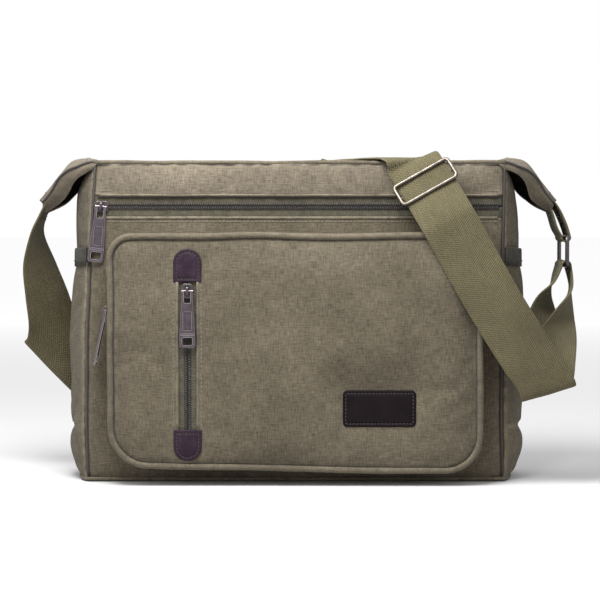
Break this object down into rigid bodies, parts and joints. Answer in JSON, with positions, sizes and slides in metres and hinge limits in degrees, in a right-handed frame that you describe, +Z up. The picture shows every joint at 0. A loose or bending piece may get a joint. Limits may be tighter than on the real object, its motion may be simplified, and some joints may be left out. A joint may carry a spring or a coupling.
{
  "type": "messenger bag",
  "caption": "Canvas messenger bag with a zipped main compartment, box pocket, winged upper corners and an adjustable webbing strap.",
  "frame": {"origin": "middle of the base of the main compartment, on the surface it stands on", "axes": "+Z up, +X to the right as seen from the front, front face towards -Y"},
  "size_m": [0.4707, 0.1411, 0.2758],
  "materials": {
    "canvas": "stone-washed plain-weave cotton canvas",
    "webbing": "ribbed cotton webbing",
    "zip_tape": "woven olive zip tape",
    "zip_teeth": "dark moulded teeth, slight sheen",
    "binding_tape": "dark green woven binding",
    "lining_cloth": "plain lining cloth",
    "leather": "dark purple-brown smooth leather, stitched edge",
    "gunmetal": "gunmetal plating with worn bright edges",
    "antique_nickel": "antique nickel wire",
    "board": "stiff plastic base board"
  },
  "bodies": {
    "bag": {"back_panel": "canvas", "back_pocket_bag": "lining_cloth", "back_zip_tapes": "zip_tape", "back_zip_teeth": "zip_teeth", "base_board": "board", "base_panel": "canvas", "box_pocket_face": "canvas", "box_pocket_gusset": "canvas", "box_pocket_piping": "canvas", "buckle_bar": "antique_nickel", "buckle_frame": "antique_nickel", "face_pocket_bag": "lining_cloth", "face_zip_tapes": "zip_tape", "face_zip_teeth": "zip_teeth", "front_panel": "canvas", "front_yoke": "canvas", "inner_slip_pocket": "lining_cloth", "label_patch": "leather", "left_ear": "canvas", "left_gusset": "canvas", "left_pocket_binding": "binding_tape", "left_side_pocket": "canvas", "lining": "lining_cloth", "padded_divider": "lining_cloth", "right_ear": "canvas", "right_gusset": "canvas", "right_pocket_binding": "binding_tape", "right_side_pocket": "canvas", "rim_piping": "canvas", "ring_tab": "webbing", "side_zip_tapes": "zip_tape", "side_zip_teeth": "zip_teeth", "strap_back_run": "webbing", "strap_inner_layer": "webbing", "strap_left_run": "webbing", "strap_outer_layer": "webbing", "top_panel_back": "canvas", "top_panel_front": "canvas", "top_zip_tapes": "zip_tape", "top_zip_teeth": "zip_teeth", "yoke_pocket_bag": "lining_cloth", "yoke_zip_tapes": "zip_tape", "yoke_zip_teeth": "zip_teeth", "zip_patch_lower": "leather", "zip_patch_upper": "leather"},
    "top_slider": {"top_zip_slider": "gunmetal"},
    "top_pull": {"top_zip_pull": "gunmetal"},
    "yoke_slider": {"yoke_zip_slider": "gunmetal"},
    "yoke_pull": {"yoke_zip_pull": "gunmetal"},
    "back_slider": {"back_zip_slider": "gunmetal"},
    "back_pull": {"back_zip_pull": "gunmetal"},
    "side_slider": {"side_zip_slider": "gunmetal"},
    "side_pull": {"side_zip_pull": "gunmetal"},
    "face_slider": {"face_zip_slider": "gunmetal"},
    "face_pull": {"face_zip_pull": "gunmetal"},
    "ring": {"strap_ring": "antique_nickel", "strap_end_loop": "webbing"}
  },
  "joints": [
    {"name": "top_zip_slide", "type": "slide", "parent": "bag", "child": "top_slider", "axis": [1, 0, 0], "range_m": [0, 0.262]},
    {"name": "top_pull_swing", "type": "hinge", "parent": "top_slider", "child": "top_pull", "pos_m": [-0.15, 0, 0.2631], "axis": [0, -1, 0], "range_deg": [0, 110]},
    {"name": "yoke_zip_slide", "type": "slide", "parent": "bag", "child": "yoke_slider", "axis": [1, 0, 0], "range_m": [0, 0.326], "deforming": ["box_pocket_gusset"]},
    {"name": "yoke_pull_swing", "type": "hinge", "parent": "yoke_slider", "child": "yoke_pull", "pos_m": [-0.163, -0.0472, 0.2285], "axis": [-0.9945, 0, 0.1045], "range_deg": [0, 160]},
    {"name": "back_zip_slide", "type": "slide", "parent": "bag", "child": "back_slider", "axis": [1, 0, 0], "range_m": [0, 0.212]},
    {"name": "back_pull_swing", "type": "hinge", "parent": "back_slider", "child": "back_pull", "pos_m": [-0.106, 0.0472, 0.214], "axis": [1, 0, 0], "range_deg": [0, 160]},
    {"name": "side_zip_slide", "type": "slide", "parent": "bag", "child": "side_slider", "axis": [0, 0, 1], "range_m": [-0.08, 0.035]},
    {"name": "side_pull_swing", "type": "hinge", "parent": "side_slider", "child": "side_pull", "pos_m": [-0.158, -0.0585, 0.143], "axis": [0, 1, 0], "range_deg": [-10, 150]},
    {"name": "face_zip_slide", "type": "slide", "parent": "bag", "child": "face_slider", "axis": [0, 0, 1], "range_m": [-0.106, 0]},
    {"name": "face_pull_swing", "type": "hinge", "parent": "face_slider", "child": "face_pull", "pos_m": [-0.09, -0.078, 0.1595], "axis": [-1, 0, 0], "range_deg": [0, 165]},
    {"name": "ring_swing", "type": "hinge", "parent": "bag", "child": "ring", "pos_m": [0.226, 0, 0.203], "axis": [0, 1, 0], "range_deg": [-12, 12]}
  ]
}
